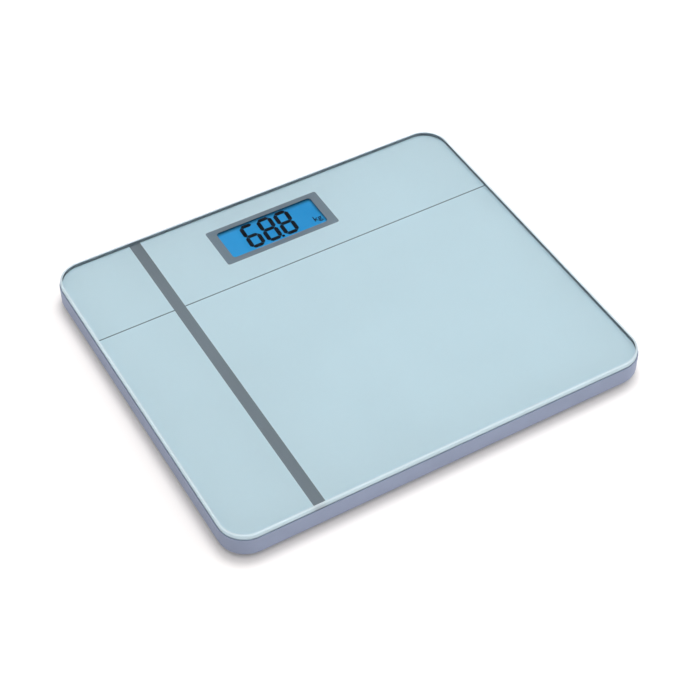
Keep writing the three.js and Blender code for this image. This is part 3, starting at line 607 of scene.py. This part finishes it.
def make_print():
    """The ink on the back of the glass, cut into the areas that each colour fills."""
    low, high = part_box("glass_platform")
    low = low + Vector((PRINT_MARGIN, PRINT_MARGIN, 0))
    high = high - Vector((PRINT_MARGIN, PRINT_MARGIN, 0))
    top = low.z + PRINT_BOND
    bottom = top - PRINT_THICKNESS
    radius = GLASS_RADIUS - PRINT_MARGIN
    field = rounded_outline((high.x - low.x, high.y - low.y), radius)
    stripe_right = STRIPE_LEFT + STRIPE_WIDTH
    line_low, line_high = LINE_Y - LINE_WIDTH / 2, LINE_Y + LINE_WIDTH / 2
    frame_outline = rounded_outline(FRAME_SIZE, FRAME_RADIUS, FRAME_CENTRE, 6)
    window_outline = rounded_outline(WINDOW_SIZE, WINDOW_RADIUS, WINDOW_CENTRE, 8)

    def part(keep):
        return [point for point in field if keep(*point)]

    left_back = part(lambda x, y: x < 0 < y)
    left_front = part(lambda x, y: x < 0 and y < 0)
    right_back = part(lambda x, y: x > 0 and y > 0)
    right_front = part(lambda x, y: x > 0 > y)
    areas = [
        [(STRIPE_LEFT, high.y)] + left_back + [(low.x, line_high), (STRIPE_LEFT, line_high)],
        [(STRIPE_LEFT, line_low), (low.x, line_low)] + left_front + [(STRIPE_LEFT, low.y)],
        [(stripe_right, low.y)] + right_front + [(high.x, line_low), (stripe_right, line_low)],
        [(stripe_right, line_high), (high.x, line_high)] + right_back + [(stripe_right, high.y)],
        frame_outline,
    ]
    stripe = [rectangle(STRIPE_LEFT, stripe_right, low.y, high.y)]
    line = [
        rectangle(low.x, STRIPE_LEFT, line_low, line_high),
        rectangle(stripe_right, high.x, line_low, line_high),
    ]
    field_piece = flat_piece("print_field", areas, bottom, top)
    finish_piece(field_piece, MATERIALS["print_field"], ROOT_BODY, "back_print", "back_print")
    for name, outlines, ink in (
        ("print_stripe", stripe, "print_grey"),
        ("print_line", line, "print_line"),
        ("print_window_frame", [frame_outline, window_outline], "print_frame"),
    ):
        finish_piece(flat_piece(name, outlines, bottom, top), MATERIALS[ink], ROOT_BODY, "back_print")


# ---------------------------------------------------------------- display

def slanted(points, origin):
    """Leans a digit's points to the right and moves them to their place."""
    return [(origin[0] + x + y * DIGIT_SLANT, origin[1] + y) for x, y in points]


def bar(start, end, stroke):
    """A segment with pointed ends between two points, along X or along Y."""
    (x0, y0), (x1, y1) = start, end
    half = stroke / 2
    if y0 == y1:
        return [
            (x0, y0), (x0 + half, y0 - half), (x1 - half, y0 - half),
            (x1, y0), (x1 - half, y0 + half), (x0 + half, y0 + half),
        ]
    return [
        (x0, y0), (x0 + half, y0 + half), (x0 + half, y1 - half),
        (x0, y1), (x0 - half, y1 - half), (x0 - half, y0 + half),
    ]


def digit_segments():
    """The seven bars of one digit, by their usual letters, with its lower left corner at the origin."""
    half = DIGIT_STROKE / 2
    left, right = half, DIGIT_WIDTH - half
    bottom, middle, top = half, DIGIT_HEIGHT / 2, DIGIT_HEIGHT - half
    gap = DIGIT_GAP
    ends = {
        "a": ((left + gap, top), (right - gap, top)),
        "g": ((left + gap, middle), (right - gap, middle)),
        "d": ((left + gap, bottom), (right - gap, bottom)),
        "f": ((left, middle + gap), (left, top - gap)),
        "b": ((right, middle + gap), (right, top - gap)),
        "e": ((left, bottom + gap), (left, middle - gap)),
        "c": ((right, bottom + gap), (right, middle - gap)),
    }
    return {letter: bar(start, end, DIGIT_STROKE) for letter, (start, end) in ends.items()}


def make_digits(height):
    segments = digit_segments()
    outlines = []
    for index, digit in enumerate(READING):
        origin = (DIGITS_LEFT + index * DIGIT_PITCH, DIGITS_BOTTOM)
        outlines += [slanted(segments[letter], origin) for letter in SEGMENTS_OF[digit]]
    last_left = DIGITS_LEFT + (len(READING) - 1) * DIGIT_PITCH
    centre = (last_left - POINT_LEAD + POINT_SIZE / 2, DIGITS_BOTTOM + POINT_SIZE / 2)
    outlines.append(rounded_outline((POINT_SIZE, POINT_SIZE), POINT_RADIUS, centre, 4))
    digits = flat_piece("lcd_digits", outlines, height - INK_THICKNESS / 2, height + INK_THICKNESS)
    finish_piece(digits, MATERIALS["lcd_ink"], ROOT_BODY, "lcd")


def make_unit(height):
    """The small unit mark at the lower right of the display."""
    text = bpy.data.curves.new("lcd_unit_text", "FONT")
    text.body = "kg"
    text.size = UNIT_SIZE
    text.offset = UNIT_BOLDNESS
    text.extrude = INK_THICKNESS
    holder = bpy.data.objects.new("lcd_unit_text", text)
    mesh = bpy.data.meshes.new_from_object(holder)
    bpy.data.objects.remove(holder)
    bpy.data.curves.remove(text)
    for vertex in mesh.vertices:
        vertex.co += Vector((*UNIT_PLACE, height))
    finish_piece(link("lcd_unit", mesh), MATERIALS["lcd_ink"], ROOT_BODY, "lcd")


# ---------------------------------------------------------------- underside pieces

def pad_profile(radius, top):
    """Half of a pad's section, from the middle of its underside to the middle of its top."""
    profile = [(PAD_CORE, GRIP_DEPTH), (PAD_DIMPLE, GRIP_DEPTH), (PAD_DIMPLE_RIM, 0)]
    for ring in range(GRIP_COUNT):
        inner = GRIP_FIRST + GRIP_PITCH * ring
        outer = inner + GRIP_WIDTH
        profile += [
            (inner, 0), (inner + GRIP_SLOPE, GRIP_DEPTH), (outer - GRIP_SLOPE, GRIP_DEPTH), (outer, 0),
        ]
    profile += [(radius - PAD_EDGE, 0), (radius - PAD_EDGE_MIDDLE, PAD_EDGE_MIDDLE), (radius, PAD_EDGE)]
    profile += [(radius, top), (PAD_CORE, top)]
    return profile


def make_feet():
    """A turned rubber pad with grip rings under each foot."""
    for corner in CORNERS:
        low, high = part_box("foot_pad_" + corner)
        centre = ((low.x + high.x) / 2, (low.y + high.y) / 2)
        profile = pad_profile((high.x - low.x) / 2, high.z)
        pad = turned("foot_pad_rubber_" + corner, profile, centre)
        finish_piece(pad, MATERIALS["pad_rubber"], "foot_" + corner, "pad_rubber", "foot_pad_" + corner)


# ---------------------------------------------------------------- CAD nodes with a finer finish

MADE_HERE = ("glass_platform", "back_print") + tuple("foot_pad_" + corner for corner in CORNERS)


def make_cad_finishes():
    for node, slot in SLOT_OF.items():
        if node not in MADE_HERE:
            refined(node, MATERIALS[slot], EDGE_OF.get(node, FINE_EDGE))


# ---------------------------------------------------------------- stage, light and camera

def make_floor():
    bm = bmesh.new()
    bmesh.ops.create_circle(bm, cap_ends=True, radius=FLOOR_RADIUS, segments=FLOOR_SIDES)
    mesh = bpy.data.meshes.new("floor")
    bm.to_mesh(mesh)
    bm.free()
    floor = link("floor", mesh)
    material, nodes, links, shader = new_material("floor_white")
    paper = noise(nodes, links, FLOOR_CLOUD_SCALE, 2)
    tinted(nodes, links, shader, paper, (0.88, 0.85, 0.835, 1), (0.90, 0.87, 0.855, 1))
    shader.inputs["Roughness"].default_value = 0.9
    shader.inputs["Specular IOR Level"].default_value = 0
    mesh.materials.append(material)


def direction(azimuth, elevation):
    """A unit vector that points from the object to a viewer at these angles."""
    return Vector((
        math.sin(azimuth) * math.cos(elevation),
        -math.cos(azimuth) * math.cos(elevation),
        math.sin(elevation),
    ))


def make_world():
    """White surroundings that are brighter on one side, with the dark card in them."""
    world = bpy.data.worlds.new("studio")
    bpy.context.scene.world = world
    world.use_nodes = True
    nodes = world.node_tree.nodes
    links = world.node_tree.links
    place = nodes.new("ShaderNodeTexCoord").outputs["Generated"]

    def along(axis):
        """The cosine of the angle between the axis and the direction looked in."""
        cosine = nodes.new("ShaderNodeVectorMath")
        cosine.operation = "DOT_PRODUCT"
        cosine.inputs[1].default_value = axis
        links.new(place, cosine.inputs[0])
        return cosine.outputs["Value"]

    bright = along(Vector(BRIGHT_SIDE).normalized())
    level = remap(nodes, links, bright, (-1, 1), (DIM_LEVEL, BRIGHT_LEVEL))
    mirrored = along(direction(VIEW_AZIMUTH + math.pi, VIEW_ELEVATION))
    card_edges = (math.cos(math.radians(CARD_EDGE)), math.cos(math.radians(CARD_CORE)))
    card = remap(nodes, links, mirrored, card_edges, (1, CARD_LEVEL), "SMOOTHSTEP")
    links.new(product(nodes, links, level, card), nodes["Background"].inputs["Strength"])
    nodes["Background"].inputs["Color"].default_value = (1, 1, 1, 1)


def make_key_light():
    """A weak round soft box, aimed at the origin."""
    lamp = bpy.data.lights.new("key", "AREA")
    lamp.shape = "DISK"
    lamp.size = KEY_SIZE
    lamp.energy = KEY_WATTS
    holder = bpy.data.objects.new("key", lamp)
    holder.location = KEY_PLACE
    holder.rotation_euler = (-Vector(KEY_PLACE)).to_track_quat("-Z", "Y").to_euler()
    bpy.context.collection.objects.link(holder)


def make_camera():
    target = Vector((*VIEW_TARGET, CAD_HIGH.z))
    back = direction(VIEW_AZIMUTH, VIEW_ELEVATION)
    lens = bpy.data.cameras.new("camera")
    lens.lens = LENS_MM
    lens.sensor_width = SENSOR_MM
    lens.clip_start = CLIP_START
    camera = bpy.data.objects.new("camera", lens)
    camera.location = target + back * VIEW_DISTANCE
    camera.rotation_euler = (-back).to_track_quat("-Z", "Y").to_euler()
    bpy.context.collection.objects.link(camera)
    bpy.context.scene.camera = camera


make_camera()
make_glass()
make_print()
lcd_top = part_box("lcd_panel")[1].z
make_digits(lcd_top)
make_unit(lcd_top)
make_feet()
make_cad_finishes()
make_floor()
make_world()
make_key_light()
bpy.context.scene.view_settings.view_transform = "Standard"
